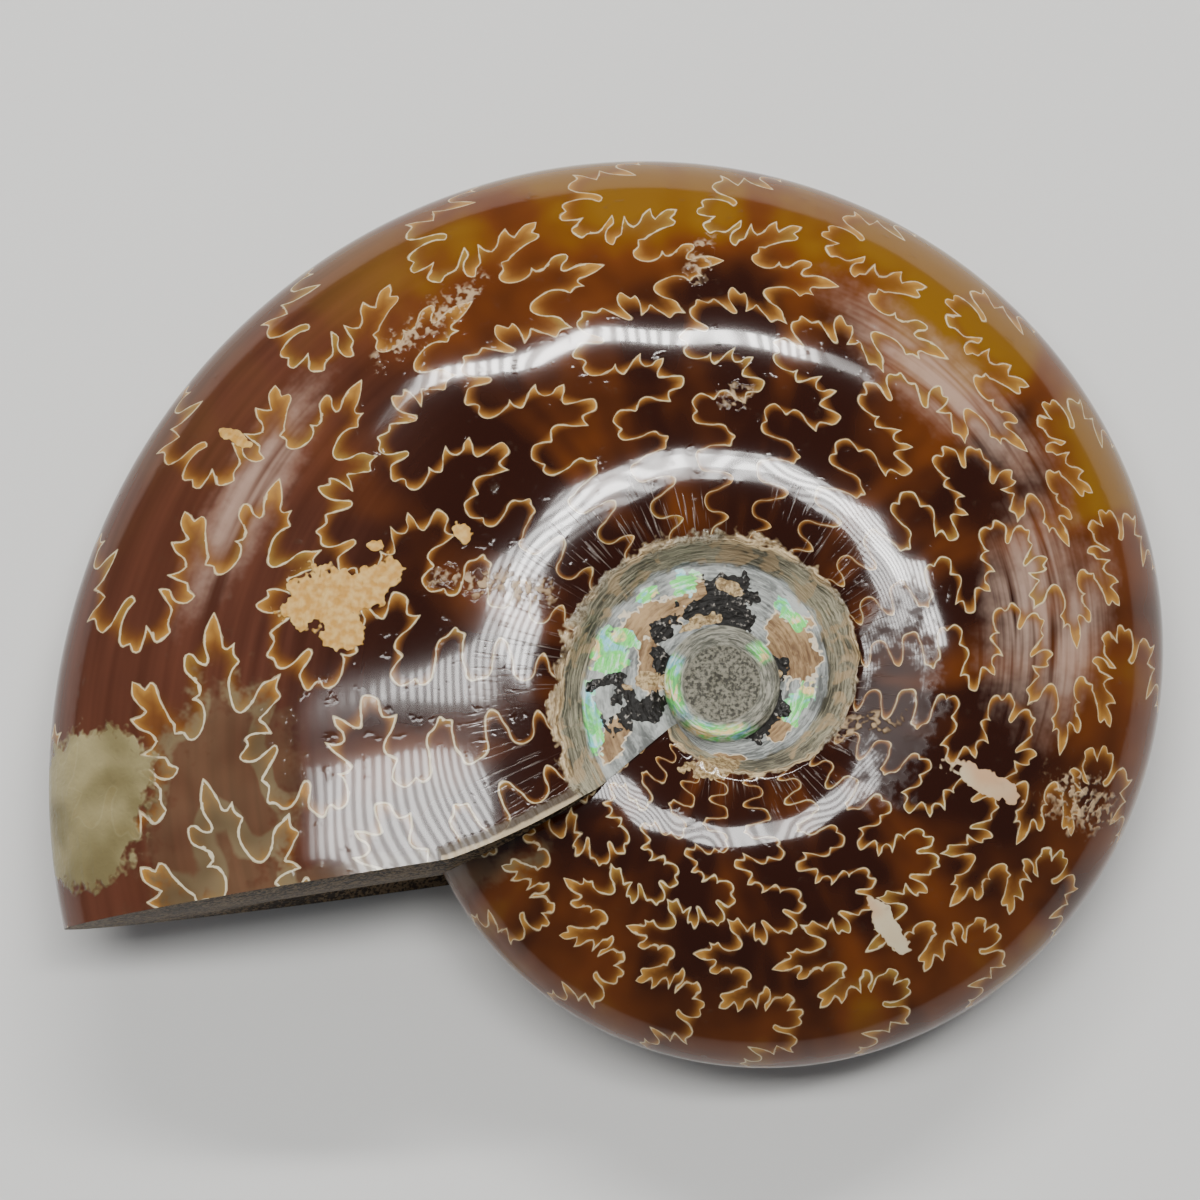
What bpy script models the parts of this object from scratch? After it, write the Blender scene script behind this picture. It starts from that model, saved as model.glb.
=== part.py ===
"""A polished Cleoniceras ammonite, about 150 mm across, lying on its flank.

The fossil is one solid stone. Its form follows the animal's growth: the rim (the venter), the
umbilical edge and the thickness of each whorl are functions of one unwrapped angle that runs
up the coil. Every whorl hides the outer half of the one before it, so what can be seen is one
long strip that spirals out of the middle: first the parts of the inner whorls that the
umbilicus shows, then the whole flank of the last whorl, which ends in a straight sawn face.

Frame: metres, +Z up, the origin under the middle of the object at the height it rests on.
+X is the long way across, the aperture at -X, and the whorl grows anticlockwise from above.
"""
import math
import bpy
import bmesh
from mathutils import Matrix, Vector
from mathutils.geometry import tessellate_polygon

# ---- growth of the coil (angles in radians from +X, anticlockwise) --------------------------
VENTER_AT_ZERO = 0.0603       # coil axis to the venter on the +X ray
GROWTH = 0.1235               # natural-log growth of the venter per radian (x2.17 per whorl)
THICK_AT_ZERO = 0.01785       # half thickness of the whorl on the +X ray
THICK_GROWTH = 0.052          # the thickness grows more slowly (x1.39 per whorl)
UMBILICUS_AT_ZERO = 0.0153    # coil axis to the umbilical edge on the +X ray, before its wobble
UMBILICUS_GROWTH = 0.1574
UMBILICUS_SLOWING = 0.0042    # the edge opens a little less with each whorl
UMBILICUS_WOBBLE = 0.0923     # and stands off towards +X
WALL = 0.18                   # width of the umbilical wall, as a part of the edge's radius

# ---- the whorl's section, as parts of its radius or of its half thickness -------------------
WIDEST = 0.42                 # where the whorl is thickest
FLANK_POWER = 1.8             # how soon the flank turns in
VENTER_POWER = 0.60           # how round the venter is (0.5 is an ellipse)
SHOULDER_DROP = 0.075         # how much lower the umbilical edge is than the widest line
FOLDS = 15                    # low radial folds in one whorl
FOLD_HEIGHT = 0.014           # their height, as a part of the half thickness
FOLD_SWEEP = 0.55             # how far a fold bends forward across the flank

# ---- the sawn end ---------------------------------------------------------------------------
APERTURE_ANGLE = math.radians(218.0)     # where the last whorl ends at the umbilicus
SAW_OFFSET = 0.0184                      # coil axis to the line of the saw cut
SAW_NORMAL = math.radians(278.6)         # direction from the axis to that line
LIP_OUTER = 0.0432                       # here the cut meets the whorl before
LIP_INNER = 0.0220
LIP_ANGLE = math.radians(220.9)          # the lip's inner end

# ---- the middle of the umbilicus ------------------------------------------------------------
RING_RADIUS = 0.0067          # the first whorls, a low pearly ring
PLUG_RADIUS = 0.0056          # the plug of matrix inside it
RING_LEVEL = 0.0134           # their height above the coil's middle plane
PLUG_LEVEL = 0.0128

# ---- how it lies: the thicker end props it up, and the polished spots it lies on are flat ---
LEAN_X = math.radians(-1.2)
LEAN_Y = math.radians(2.0)
FLAT_DEPTH = 0.00030

# ---- facets ---------------------------------------------------------------------------------
COLUMNS = 112                 # in one whorl
EXPOSED_ROWS = 5              # from the foot of the umbilical wall to the next whorl's foot
OUTER_ROWS = (0.0, 0.20, 0.38, 0.54, 0.68, 0.80, 0.89, 0.955, 1.0)   # from there to the venter

TURN = 2 * math.pi
LAST_START = APERTURE_ANGLE - TURN       # the whorl before comes out of the aperture here
INNER_START = LAST_START - TURN          # the exposed strip starts at the middle here


def venter(angle):
    return VENTER_AT_ZERO * math.exp(GROWTH * angle)


def half_thickness(angle):
    return THICK_AT_ZERO * math.exp(THICK_GROWTH * angle)


def umbilical_edge(angle):
    growth = UMBILICUS_GROWTH * angle - UMBILICUS_SLOWING * angle * angle
    return UMBILICUS_AT_ZERO * math.exp(growth + UMBILICUS_WOBBLE * math.cos(angle))


def wall_foot(angle):
    return (1 - WALL) * umbilical_edge(angle)


def cut_angle(radius):
    """Angle of the sawn end at a radius: the saw line, then the lip across the whorl before."""
    if radius >= LIP_OUTER:
        return SAW_NORMAL - math.acos(SAW_OFFSET / radius)
    outer = SAW_NORMAL - math.acos(SAW_OFFSET / LIP_OUTER)
    share = min(1.0, (LIP_OUTER - radius) / (LIP_OUTER - LIP_INNER))
    return outer + (LIP_ANGLE - outer) * share


def true_angle(column_angle, radius):
    """The columns of facets bend as the sawn end does, so that the last one is the cut."""
    return column_angle + cut_angle(radius) - APERTURE_ANGLE


def radius_on(column_angle, rule):
    """Where a line of the coil, given as a rule of the true angle, crosses a bent column."""
    radius = rule(column_angle)
    for _ in range(12):
        radius = rule(true_angle(column_angle, radius))
    return radius


def flank(angle, radius):
    """Height of a whorl's flank above the coil's middle plane."""
    rim, thick, edge = venter(angle), half_thickness(angle), umbilical_edge(angle)
    widest = WIDEST * rim
    if radius >= rim:
        return 0.0
    if radius >= widest:
        out = (radius - widest) / (rim - widest)
        shape = (1 - out ** FLANK_POWER) ** VENTER_POWER
    else:
        shape = 1 - SHOULDER_DROP * min(1.6, (widest - radius) / (widest - edge)) ** 2
    share = radius / rim
    rise = min(1.0, max(0.0, (share - 0.33) / 0.25)) * min(1.0, max(0.0, (1 - share) / 0.15))
    fold = math.sin(FOLDS * (angle - FOLD_SWEEP * (share - 0.4) ** 2))
    return thick * (shape + FOLD_HEIGHT * rise * fold)


def surface(angle, radius):
    """Height of the outside: the flank, or inside the umbilical edge the wall down from it."""
    edge = umbilical_edge(angle)
    if radius >= edge:
        return flank(angle, radius)
    foot = wall_foot(angle)
    floor = flank(angle - TURN, foot)
    top = flank(angle, edge)
    share = min(1.0, (edge - radius) / (edge - foot))
    return top + (floor - top) * share


MIDDLE_RADIUS = radius_on(LAST_START, wall_foot)    # the hollow round the first whorls


def row_radii(column_angle):
    """Radii of the facets' corners, from the wall's foot out to the next wall's foot."""
    foot = MIDDLE_RADIUS
    if column_angle > LAST_START:
        foot = radius_on(column_angle, wall_foot)
    reach = radius_on(column_angle, lambda angle: wall_foot(angle + TURN))
    edge = max(radius_on(column_angle, umbilical_edge), foot + 0.16 * (reach - foot))
    shares = [(row - 1) / (EXPOSED_ROWS - 1) for row in range(1, EXPOSED_ROWS + 1)]
    return [foot] + [edge + (reach - edge) * share ** 1.15 for share in shares]


def corner(bm, side, column_angle, radius, height=None):
    """A corner of the facets, on the coil's surface unless it has a height of its own."""
    angle = true_angle(column_angle, radius)
    if height is None:
        height = surface(angle, radius)
    place = (radius * math.cos(angle), radius * math.sin(angle), side * height)
    return bm.verts.new(place)


def build_side(bm, side, rim_corners):
    """One flank: side is 1 for the upper, -1 for the lower. Returns its end profiles."""
    exposed, outer = {}, {}
    for column in range(1, 2 * COLUMNS + 1):
        angle = INNER_START + TURN * column / COLUMNS
        radii = row_radii(angle)
        exposed[column] = [corner(bm, side, angle, radius) for radius in radii[:-1]] + [None]
    exposed[0] = [exposed[COLUMNS][0]] * (EXPOSED_ROWS + 1)
    for column in range(1, COLUMNS + 1):
        exposed[column][-1] = exposed[column + COLUMNS][0]
    for column in range(COLUMNS, 2 * COLUMNS + 1):
        angle = INNER_START + TURN * column / COLUMNS
        reach, rim = row_radii(angle)[-1], radius_on(angle, venter)
        if exposed[column][-1] is None:
            exposed[column][-1] = corner(bm, side, angle, reach)
        strip = [exposed[column][-1]]
        for share in OUTER_ROWS[1:-1]:
            strip.append(corner(bm, side, angle, reach + (rim - reach) * share))
        if column not in rim_corners:
            rim_corners[column] = corner(bm, side, angle, rim, 0.0)
        outer[column] = strip + [rim_corners[column]]

    def panel(corners):
        ring = []
        for vert in corners:
            if vert not in ring:
                ring.append(vert)
        if len(ring) > 2:
            bm.faces.new(ring if side > 0 else ring[::-1])

    for column in range(2 * COLUMNS):
        near, far = exposed[column], exposed[column + 1]
        for row in range(EXPOSED_ROWS):
            panel((near[row], near[row + 1], far[row + 1], far[row]))
        if column >= COLUMNS:
            near, far = outer[column], outer[column + 1]
            for row in range(len(OUTER_ROWS) - 1):
                panel((near[row], near[row + 1], far[row + 1], far[row]))

    # the ring of the first whorls and the plug of matrix in the middle
    edge = [exposed[column][0] for column in range(COLUMNS)]
    for radius, level in ((RING_RADIUS, RING_LEVEL), (PLUG_RADIUS, PLUG_LEVEL)):
        inner = []
        for column in range(COLUMNS):
            angle = INNER_START + TURN * column / COLUMNS
            inner.append(corner(bm, side, angle, radius, level))
        for column in range(COLUMNS):
            after = (column + 1) % COLUMNS
            panel((inner[column], edge[column], edge[after], inner[after]))
        edge = inner
    middle = bm.verts.new((0.0, 0.0, side * PLUG_LEVEL))
    for column in range(COLUMNS):
        panel((middle, edge[column], edge[(column + 1) % COLUMNS]))

    end_profile = exposed[2 * COLUMNS][:-1] + outer[2 * COLUMNS]
    start_profile = outer[COLUMNS]
    return end_profile, start_profile


def close_sawn_end(bm, upper, lower):
    """The sawn face and the lip: everything between the last section and the whorl before."""
    loop = upper[0] + lower[0][-2:0:-1] + [lower[0][0]]
    loop += lower[1][1:] + upper[1][-2:0:-1]
    flat = [Vector((math.hypot(v.co.x, v.co.y), v.co.z, 0.0)) for v in loop]
    for triple in tessellate_polygon([flat]):
        bm.faces.new([loop[index] for index in triple])


def lay_down(bm):
    """Lean the coil as it lies on its flank and polish flat the spots that it rests on."""
    lean = Matrix.Rotation(LEAN_X, 4, 'X') @ Matrix.Rotation(LEAN_Y, 4, 'Y')
    bmesh.ops.transform(bm, matrix=lean, verts=bm.verts)
    floor = min(v.co.z for v in bm.verts) + FLAT_DEPTH
    cut = bmesh.ops.bisect_plane(bm, geom=bm.verts[:] + bm.edges[:] + bm.faces[:],
                                 plane_co=(0, 0, floor), plane_no=(0, 0, -1), clear_outer=True)
    edges = [e for e in cut['geom_cut'] if isinstance(e, bmesh.types.BMEdge)]
    bmesh.ops.holes_fill(bm, edges=edges, sides=0)
    low = [min(v.co[axis] for v in bm.verts) for axis in range(3)]
    high = [max(v.co[axis] for v in bm.verts) for axis in range(3)]
    shift = Vector((-(low[0] + high[0]) / 2, -(low[1] + high[1]) / 2, -low[2]))
    bmesh.ops.translate(bm, vec=shift, verts=bm.verts)
    return lean, shift


def stone_material():
    material = bpy.data.materials.new("polished_stone")
    material.use_nodes = True
    shader = material.node_tree.nodes["Principled BSDF"]
    shader.inputs["Base Color"].default_value = (0.12, 0.035, 0.012, 1.0)
    shader.inputs["Roughness"].default_value = 0.12
    shader.inputs["Metallic"].default_value = 0.0
    material.diffuse_color = (0.12, 0.035, 0.012, 1.0)
    return material


def build_ammonite():
    bm = bmesh.new()
    rim_corners = {}
    upper = build_side(bm, 1, rim_corners)
    lower = build_side(bm, -1, rim_corners)
    close_sawn_end(bm, upper, lower)
    lean, shift = lay_down(bm)
    bmesh.ops.triangulate(bm, faces=bm.faces)
    bmesh.ops.recalc_face_normals(bm, faces=bm.faces)
    mesh = bpy.data.meshes.new("ammonite")
    bm.to_mesh(mesh)
    bm.free()
    mesh.shade_smooth()
    mesh.set_sharp_from_angle(angle=math.radians(32))
    ammonite = bpy.data.objects.new("ammonite", mesh)
    ammonite.data.materials.append(stone_material())
    bpy.context.collection.objects.link(ammonite)
    size = [max(v.co[axis] for v in mesh.vertices) - min(v.co[axis] for v in mesh.vertices)
            for axis in range(3)]
    print("ammonite: %d triangles, %.1f x %.1f x %.1f mm, coil axis at (%.2f, %.2f, %.2f) mm"
          % (len(mesh.polygons), *[1000 * s for s in size], *[1000 * s for s in shift]))
    return ammonite


for item in list(bpy.data.objects):
    bpy.data.objects.remove(item)
build_ammonite()
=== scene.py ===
# %%
# A polished ammonite fossil: reading the measured frame
import math
import bpy
import bmesh
import numpy as np
from mathutils import Matrix, Vector
from mathutils.geometry import delaunay_2d_cdt, tessellate_polygon


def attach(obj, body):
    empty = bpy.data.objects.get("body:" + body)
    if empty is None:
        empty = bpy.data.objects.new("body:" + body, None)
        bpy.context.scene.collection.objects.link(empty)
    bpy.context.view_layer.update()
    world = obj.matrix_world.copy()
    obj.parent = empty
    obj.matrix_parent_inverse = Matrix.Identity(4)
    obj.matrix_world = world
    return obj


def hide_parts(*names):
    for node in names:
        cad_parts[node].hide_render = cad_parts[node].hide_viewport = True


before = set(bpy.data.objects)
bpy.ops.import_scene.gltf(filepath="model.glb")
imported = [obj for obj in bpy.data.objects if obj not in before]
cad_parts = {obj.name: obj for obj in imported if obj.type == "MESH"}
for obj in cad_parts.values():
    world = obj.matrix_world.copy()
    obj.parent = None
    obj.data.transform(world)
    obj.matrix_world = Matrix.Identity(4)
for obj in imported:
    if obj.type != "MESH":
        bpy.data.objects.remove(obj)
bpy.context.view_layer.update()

# %% [markdown]
# The shell is one coil. Each whorl grows in proportion, so every line of it is a spiral whose
# radius rises by a fixed share with each turn. All the rules are given as numpy functions of
# the angle, so that thousands of points of the skin can be placed in one go.

# %%
# The rules of the coil
# radii in metres at angle zero, and how fast their logarithm grows per radian
VENTER_AT_ZERO, GROWTH = 0.0603, 0.1235
THICK_AT_ZERO, THICK_GROWTH = 0.01785, 0.052
UMBILICUS_AT_ZERO, UMBILICUS_GROWTH = 0.0153, 0.1574
UMBILICUS_SLOWING, UMBILICUS_WOBBLE = 0.0042, 0.0923
# the wall of the umbilicus, as a share of the radius of its edge
WALL = 0.18
# the section of the whorl: where it is thickest and how it falls off to both sides
WIDEST, FLANK_POWER, VENTER_POWER, SHOULDER_DROP = 0.42, 1.8, 0.60, 0.075
INWARD_REACH = 1.265
# low folds across the flank: how many per turn, height as a share of the thickness, bend,
# where they begin and end as shares of the outer radius, and how softly
FOLDS, FOLD_HEIGHT, FOLD_SWEEP, FOLD_CENTRE = 15, 0.0035, 0.55, 0.4
FOLD_FROM, FOLD_RISE, FOLD_FALL = 0.33, 0.25, 0.15
# the saw cut across the aperture and the lip that bends away from it
APERTURE_ANGLE = math.radians(218.0)
SAW_OFFSET, SAW_NORMAL = 0.0184, math.radians(278.6)
LIP_OUTER, LIP_INNER, LIP_ANGLE = 0.0432, 0.0220, math.radians(220.9)
LEAN = Matrix.Rotation(math.radians(-1.2), 4, 'X') @ Matrix.Rotation(math.radians(2.0), 4, 'Y')
TURN = 2 * math.pi
# passes until a radius and its angle agree
PASSES = 14
LAST_START = APERTURE_ANGLE - TURN


def venter(angle):
    return VENTER_AT_ZERO * np.exp(GROWTH * angle)


def umbilical_edge(angle):
    growth = UMBILICUS_GROWTH * angle - UMBILICUS_SLOWING * angle * angle
    return UMBILICUS_AT_ZERO * np.exp(growth + UMBILICUS_WOBBLE * np.cos(angle))


def wall_foot(angle):
    return (1 - WALL) * umbilical_edge(angle)


def cut_angle(radius):
    radius = np.maximum(radius, 0.001)
    outer = SAW_NORMAL - math.acos(SAW_OFFSET / LIP_OUTER)
    share = np.clip((LIP_OUTER - radius) / (LIP_OUTER - LIP_INNER), 0, 1)
    sawn = SAW_NORMAL - np.arccos(SAW_OFFSET / np.maximum(radius, LIP_OUTER))
    return np.where(radius >= LIP_OUTER, sawn, outer + (LIP_ANGLE - outer) * share)


def true_angle(column, radius):
    return column + cut_angle(radius) - APERTURE_ANGLE


def radius_on(column, rule):
    radius = rule(column)
    for _ in range(PASSES):
        radius = rule(true_angle(column, radius))
    return radius


def flank(angle, radius):
    rim, edge = venter(angle), umbilical_edge(angle)
    widest = WIDEST * rim
    out = np.clip((radius - widest) / (rim - widest), 0, 1)
    inside = np.clip((widest - radius) / (widest - edge), 0, INWARD_REACH)
    shape = (1 - out ** FLANK_POWER) ** VENTER_POWER - SHOULDER_DROP * inside ** 2
    share = radius / rim
    rise = np.clip((share - FOLD_FROM) / FOLD_RISE, 0, 1)
    rise = rise * np.clip((1 - share) / FOLD_FALL, 0, 1)
    fold = np.sin(FOLDS * (angle - FOLD_SWEEP * (share - FOLD_CENTRE) ** 2))
    return THICK_AT_ZERO * np.exp(THICK_GROWTH * angle) * (shape + FOLD_HEIGHT * rise * fold)


def surface(angle, radius):
    edge, foot = umbilical_edge(angle), wall_foot(angle)
    top, floor = flank(angle, edge), flank(angle - TURN, foot)
    share = np.clip((edge - radius) / (edge - foot), 0, 1)
    return np.where(radius >= edge, flank(angle, radius), top + (floor - top) * share)


MIDDLE_RADIUS = float(radius_on(LAST_START, wall_foot))
print("radius of the hollow round the first whorls: %.1f mm" % (1000 * MIDDLE_RADIUS))

# %% [markdown]
# The animal closed off its old living room again and again with a thin wall. Where the edge of
# such a wall meets the polished outside it shows as a frilled line, and the same line returns
# at an even step along the coil. One line is drawn here from the venter inwards: the first
# number goes back along the coil in steps of 1/140 of the distance between two walls, the
# second goes inwards in steps of 1/1200 of the whorl's outer radius.

# %%
# One frilled line
SUTURES = 21.4
SPACING = TURN / SUTURES
STEPS_ALONG, STEPS_INWARD = 140, 1200
DRAWN = [
    (-2, 0), (10, 4), (19, 9), (12, 14), (13, 24), (5, 17), (-7, 19), (-9, 31), (-1, 42),
    (7, 58), (-4, 57), (-17, 50), (-25, 37), (-27, 52), (-30, 65), (-36, 57), (-41, 48),
    (-49, 41), (-47, 56), (-54, 66), (-57, 80), (-52, 92), (-42, 99), (-33, 106), (-29, 116),
    (-33, 125), (-39, 117), (-50, 113), (-64, 116), (-68, 126), (-66, 137), (-72, 145),
    (-72, 158), (-61, 161), (-52, 159), (-58, 171), (-65, 181), (-65, 193), (-58, 206),
    (-51, 198), (-40, 197), (-32, 181), (-23, 161), (-23, 180), (-30, 192), (-34, 206),
    (-34, 221), (-28, 230), (-23, 215), (-17, 208), (-15, 190), (-11, 167), (-8, 185),
    (-3, 194), (4, 184), (9, 165), (17, 151), (18, 167), (21, 178), (27, 165), (35, 153),
    (45, 152), (42, 166), (38, 175), (43, 183), (40, 193), (29, 201), (19, 211), (11, 219),
    (7, 225), (0, 225), (-1, 240), (-7, 248), (-8, 260), (-2, 272), (10, 277), (21, 270),
    (25, 256), (28, 267), (35, 268), (42, 255), (50, 241), (62, 240), (62, 252), (55, 263),
    (52, 276), (58, 279), (69, 270), (82, 267), (98, 274), (88, 287), (76, 297), (67, 301),
    (65, 309), (70, 319), (60, 320), (53, 330), (46, 320), (35, 315), (21, 320), (10, 328),
    (6, 341), (10, 353), (18, 362), (26, 367), (32, 376), (34, 388), (39, 401), (26, 398),
    (17, 408), (10, 397), (3, 386), (-3, 374), (-8, 386), (-18, 398), (-16, 380), (-15, 363),
    (-18, 350), (-24, 356), (-33, 341), (-39, 352), (-40, 370), (-35, 387), (-30, 403),
    (-35, 408), (-44, 399), (-53, 385), (-60, 374), (-68, 383), (-82, 374), (-86, 386),
    (-94, 394), (-95, 407), (-89, 420), (-80, 430), (-73, 440), (-77, 448), (-89, 443),
    (-101, 435), (-109, 441), (-117, 450), (-117, 459), (-109, 466), (-107, 474), (-114, 481),
    (-115, 493), (-109, 503), (-96, 507), (-80, 502), (-74, 495), (-75, 511), (-69, 521),
    (-59, 512), (-49, 498), (-36, 487), (-40, 503), (-37, 517), (-27, 517), (-18, 507),
    (-7, 504), (-12, 520), (-21, 534), (-22, 546), (-10, 549), (3, 547), (17, 550), (17, 565),
    (11, 576), (-2, 578), (-10, 581), (-11, 592), (-9, 603), (-22, 598), (-32, 592),
    (-40, 583), (-50, 578), (-60, 581), (-65, 592), (-70, 600), (-81, 593), (-94, 588),
    (-105, 597), (-111, 610), (-106, 622), (-101, 630), (-110, 637), (-110, 648), (-102, 656),
    (-85, 657), (-69, 656), (-58, 652), (-44, 653), (-37, 664), (-22, 671), (-28, 682),
    (-32, 694), (-46, 695), (-61, 698), (-77, 701), (-91, 708), (-105, 710), (-112, 719),
    (-110, 732), (-107, 745), (-95, 752), (-76, 751), (-59, 751), (-40, 751), (-27, 758),
    (-35, 772), (-53, 779), (-72, 787), (-92, 790), (-105, 797), (-111, 810), (-105, 824),
    (-90, 830), (-70, 829), (-50, 832), (-38, 840), (-55, 850), (-80, 855), (-95, 862),
    (-100, 872)]
# the rounded rim of the whorl starts at this share of its radius and takes up this much of the
# drawing's width
ROUND_FROM = 0.93
ROUND_WIDTH = 0.50
RIM_POWER = 1 / VENTER_POWER
# a tip is a turn sharper than this (cosine), and there the line keeps this much of its swing
SHARP_TURN, TIP_SWING = -0.25, 0.15


def across_of(share):
    """Distance in from the venter, in wall spacings, of a share of the whorl's outer radius."""
    rounded = -ROUND_WIDTH * ((1 - share) / (1 - ROUND_FROM)) ** (1 / RIM_POWER)
    flat = -ROUND_WIDTH + np.log(np.maximum(share, 0.01) / ROUND_FROM) / SPACING
    return np.where(share > ROUND_FROM, rounded, flat)


def smooth_line(points, fine):
    """A flowing line through the drawn points that keeps its sharp tips sharp."""
    before, after = np.roll(points, 1, 0), np.roll(points, -1, 0)
    tangent = (after - before) / 2
    tangent[0], tangent[-1] = points[1] - points[0], points[-1] - points[-2]
    a, b = points - before, after - points
    turn = np.sum(a * b, 1) / (np.linalg.norm(a, axis=1) * np.linalg.norm(b, axis=1) + 1e-9)
    tangent[turn < SHARP_TURN] *= TIP_SWING
    pieces = []
    for n in range(len(points) - 1):
        steps = max(1, int(math.ceil(np.linalg.norm(points[n + 1] - points[n]) / fine)))
        t = (np.arange(steps) / steps)[:, None]
        pieces.append((2 * t ** 3 - 3 * t ** 2 + 1) * points[n]
                      + (t ** 3 - 2 * t ** 2 + t) * tangent[n]
                      + (3 * t ** 2 - 2 * t ** 3) * points[n + 1]
                      + (t ** 3 - t ** 2) * tangent[n + 1])
    return np.concatenate(pieces + [points[-1:]])


drawn = np.array(DRAWN, float)
drawn = np.stack([-drawn[:, 0] / STEPS_ALONG, across_of(1 - drawn[:, 1] / STEPS_INWARD)], 1)
EDGE_AT = -float(drawn[-1, 1])
print("one line: %d points drawn, the umbilical edge %.2f spacings in" % (len(drawn), EDGE_AT))

# %% [markdown]
# The room between two walls is one tile of the pattern. The tile is filled with triangles whose
# sides follow the frilled lines exactly, so that the lines stay crisp close up. Two measures go
# with every corner: how far the nearest line is, and how much of what lies round about belongs
# to the neighbouring tiles, which is high in the narrow prongs where the stone shines golden.

# %%
# One tile of the pattern
# the grid that tells inside from outside, in wall spacings: its left end, step and margin
LEFT, RIGHT, STEP, MARGIN = -3.0, 4.0, 0.02, 0.4
RIM_STEPS, EDGE_STEPS = 16, 12
# rows of inner corners: their step and random shift as shares of the distance of corners, and
# how clear of the lines they stay
ROW_STEP, SHIFT, CLEAR = 0.87, 0.12, 0.55
NEIGHBOURHOOD = 0.10
TRIES = 3


def right_of(line, u, w):
    """Whether points of a grid lie beyond the line, counting how often it is crossed."""
    result = np.zeros((len(w), len(u)), bool)
    for row, level in enumerate(w):
        level = min(max(level, line[-1, 1] + 1e-4), line[0, 1] - 1e-4)
        low, high = line[:-1], line[1:]
        hit = (low[:, 1] - level) * (high[:, 1] - level) < 0
        share = (level - low[hit, 1]) / (high[hit, 1] - low[hit, 1])
        places = np.sort(low[hit, 0] + share * (high[hit, 0] - low[hit, 0]))
        result[row] = np.searchsorted(places, u) % 2 == 1
    return result


def blur(field, sigma):
    reach = int(3 * sigma)
    kernel = np.exp(-0.5 * (np.arange(-reach, reach + 1) / sigma) ** 2)
    kernel /= kernel.sum()
    for axis in (0, 1):
        field = np.apply_along_axis(lambda row: np.convolve(row, kernel, 'same'), axis, field)
    return field


def look_up(field, u, w):
    """The value of a grid at points, between its four nearest places."""
    x, y = (u - LEFT) / STEP, (w + EDGE_AT + MARGIN) / STEP
    i = np.clip(x.astype(int), 0, field.shape[1] - 2)
    j = np.clip(y.astype(int), 0, field.shape[0] - 2)
    x, y = np.clip(x - i, 0, 1), np.clip(y - j, 0, 1)
    near = field[j, i] * (1 - x) + field[j, i + 1] * x
    far = field[j + 1, i] * (1 - x) + field[j + 1, i + 1] * x
    return near * (1 - y) + far * y


def distance_to(line, points):
    """Distance of points to a line of short straight pieces."""
    a, b = line[:-1], line[1:]
    along = b - a
    length = np.maximum(np.sum(along ** 2, 1), 1e-12)
    best = np.full(len(points), 9.0)
    for start in range(0, len(points), 400):
        some = points[start:start + 400]
        t = np.clip(np.einsum('pni,ni->pn', some[:, None] - a[None], along) / length, 0, 1)
        gap = some[:, None] - (a[None] + t[..., None] * along[None])
        best[start:start + 400] = np.sqrt(np.min(np.sum(gap ** 2, 2), 1))
    return best


def make_tile(fine, coarse, seed):
    """Corners, triangles, distance to the lines and share of the neighbours for one tile."""
    line = smooth_line(drawn, fine)
    grid_u = np.arange(LEFT, RIGHT, STEP)
    grid_w = np.arange(-EDGE_AT - MARGIN, MARGIN, STEP)
    beyond = right_of(line, grid_u, grid_w)
    spacing = int(round(1 / STEP))
    own = beyond.copy()
    own[:, spacing:] &= ~beyond[:, :-spacing]
    own = own.astype(float)
    top = np.stack([line[0, 0] + np.arange(1, RIM_STEPS) / RIM_STEPS,
                    np.zeros(RIM_STEPS - 1)], 1)
    bottom = np.stack([line[-1, 0] + np.arange(EDGE_STEPS - 1, 0, -1) / EDGE_STEPS,
                       np.full(EDGE_STEPS - 1, -EDGE_AT)], 1)
    border = np.concatenate([line, bottom[::-1], (line + [1, 0])[::-1], top[::-1]])
    random = np.random.default_rng(seed)
    inner = []
    rows = int(EDGE_AT / (coarse * ROW_STEP))
    for row in range(1, rows):
        places = np.arange(LEFT + 1, RIGHT - 0.5, coarse) + (row % 2) * coarse / 2
        inner.append(np.stack([places, np.full(len(places), -EDGE_AT * row / rows)], 1))
    inner = np.concatenate(inner)
    inner += random.uniform(-SHIFT, SHIFT, inner.shape) * coarse
    inside = look_up(own, inner[:, 0], inner[:, 1]) > 0.5
    inner = inner[inside]
    clear = distance_to(border, inner)
    inner = inner[clear > CLEAR * coarse]
    points = np.concatenate([border, inner])
    size = len(border)
    edges = [(n, (n + 1) % size) for n in range(size)]
    for attempt in range(TRIES):
        result = delaunay_2d_cdt([Vector(p) for p in points], edges, [list(range(size))], 1, 1e-6)
        corners = np.array([tuple(p) for p in result[0]])
        triangles = [tuple(face) for face in result[2]]
        bridges = set()
        for face in triangles:
            for a, b in zip(face, face[1:] + face[:1]):
                if a < size and b < size and abs(a - b) not in (1, size - 1):
                    bridges.add((min(a, b), max(a, b)))
        middles = [(corners[a] + corners[b]) / 2 for a, b in sorted(bridges)]
        if attempt < TRIES - 1 and middles:
            points = np.concatenate([points, middles])
    both = np.minimum(distance_to(line, corners), distance_to(line + [1, 0], corners))
    both[both < 1e-5] = 0
    narrow = 1 - look_up(blur(own, NEIGHBOURHOOD / STEP), corners[:, 0], corners[:, 1])
    return corners, triangles, both, narrow


fine_tile = make_tile(fine=0.028, coarse=0.056, seed=3)
coarse_tile = make_tile(fine=0.075, coarse=0.13, seed=4)
for name, tile in (("upper", fine_tile), ("lower", coarse_tile)):
    print("tile of the %s flank: %d corners, %d triangles" % (name, len(tile[0]), len(tile[1])))

# %% [markdown]
# The tiles are laid side by side on a flat sheet: along it runs the angle of the coil, across
# it the distance in from the venter. The sheet is cut at the two ends of the last whorl along
# the bent saw line.

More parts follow.
